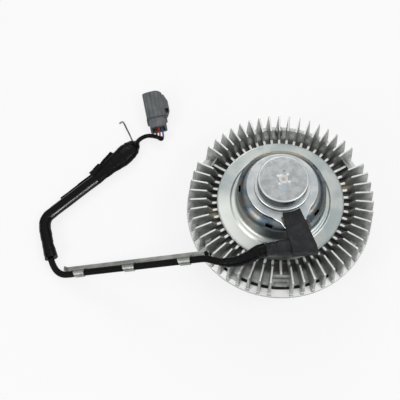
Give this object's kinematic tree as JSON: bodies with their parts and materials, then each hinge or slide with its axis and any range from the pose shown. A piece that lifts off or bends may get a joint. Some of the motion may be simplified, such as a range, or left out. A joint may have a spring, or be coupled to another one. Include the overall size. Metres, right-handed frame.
{
  "type": "viscous fan clutch",
  "caption": "Electrically controlled viscous fan clutch: finned aluminium housing on a hub bearing, coil unit on the front, and a wired harness with a plug.",
  "frame": {"origin": "on the turning axis, level with the rear face of the hub nut, which is also the surface the clutch stands on", "axes": "+Z along the turning axis towards the front, where the coil is; +Y away from the side where the lead block points, which is near -Y"},
  "size_m": [0.3772, 0.2656, 0.1107],
  "materials": {
    "cast_aluminium": "as cast, satin",
    "zinc_sheet": "bright zinc plating with a faint blue and tan tint",
    "cap_metal": "matt zinc plating with a bright rounded edge",
    "turned_steel": "turned",
    "soft_iron": "machined, dark",
    "bearing_steel": "ground",
    "nylon": "natural nylon",
    "seal_rubber": "matt",
    "magnet": "bonded ferrite",
    "copper": "enamelled wire",
    "bobbin_plastic": "moulded",
    "black_plastic": "moulded, slight sheen",
    "conduit_plastic": "corrugated",
    "tape": "wound tape with a slight sheen",
    "steel_strip": "pale grey plating",
    "wire_jacket": "brown, red and blue",
    "hook_metal": "dark",
    "grey_plastic": "moulded",
    "dark_plastic": "moulded",
    "orange_rubber": "silicone"
  },
  "bodies": {
    "coil_stator": {"cap": "cap_metal", "bearing_carrier": "zinc_sheet", "carrier_plate": "zinc_sheet", "coil_shell": "soft_iron", "coil_bobbin": "bobbin_plastic", "coil_winding": "copper", "hall_sensor": "black_plastic", "lead_block": "black_plastic", "block_clip": "black_plastic", "conduit_adapter": "black_plastic", "conduit_boot": "tape", "conduit": "conduit_plastic", "harness_strip": "steel_strip", "strip_button": "black_plastic", "loom_sleeve": "tape", "loom_wrap": "tape", "lead_cable": "tape", "plug_wires": "wire_jacket", "hook_wire": "hook_metal", "plug_shell": "grey_plastic", "plug_latch": "grey_plastic", "plug_rear_cover": "grey_plastic", "plug_insert": "dark_plastic", "plug_seal": "orange_rubber", "coil_outer_race": "bearing_steel", "coil_bearing_seal": "seal_rubber"},
    "housing": {"front_cover": "cast_aluminium", "rear_body": "cast_aluminium", "cover_screws": "turned_steel", "cover_seal": "seal_rubber", "reservoir_plate": "turned_steel", "flux_rings": "soft_iron", "shield": "zinc_sheet", "spindle": "turned_steel", "spindle_ring": "soft_iron", "sensor_magnet": "magnet", "valve_spring": "turned_steel", "coil_inner_race": "bearing_steel", "main_outer_race": "bearing_steel", "main_bearing_seals": "seal_rubber", "bearing_circlip": "soft_iron"},
    "input": {"input_shaft": "turned_steel", "rotor": "cast_aluminium", "rotor_nut": "turned_steel", "main_inner_race": "bearing_steel"},
    "coil_cage": {"coil_balls": "bearing_steel", "coil_ball_cage": "nylon"},
    "main_cage": {"main_balls": "bearing_steel", "main_ball_cage": "nylon"},
    "valve": {"valve_armature": "soft_iron"}
  },
  "joints": [
    {"name": "housing_spin", "type": "hinge", "parent": "coil_stator", "child": "housing", "pos_m": [0, 0, 0.0997], "axis": [0, 0, 1], "continuous": true},
    {"name": "input_spin", "type": "hinge", "parent": "housing", "child": "input", "pos_m": [0, 0, 0.022], "axis": [0, 0, 1], "continuous": true},
    {"name": "coil_cage_spin", "type": "hinge", "parent": "coil_stator", "child": "coil_cage", "pos_m": [0, 0, 0.0997], "axis": [0, 0, 1], "continuous": true},
    {"name": "main_cage_spin", "type": "hinge", "parent": "housing", "child": "main_cage", "pos_m": [0, 0, 0.022], "axis": [0, 0, 1], "continuous": true},
    {"name": "valve_lift", "type": "slide", "parent": "housing", "child": "valve", "axis": [0, 0, 1], "range_m": [0, 0.0012], "stiffness_N_per_m": 1500, "springref_m": -0.004, "deforming": ["valve_spring"]}
  ],
  "couplings": [
    {"joint": "coil_cage_spin", "follows": "housing_spin", "ratio": 0.4032},
    {"joint": "main_cage_spin", "follows": "input_spin", "ratio": 0.4087}
  ]
}
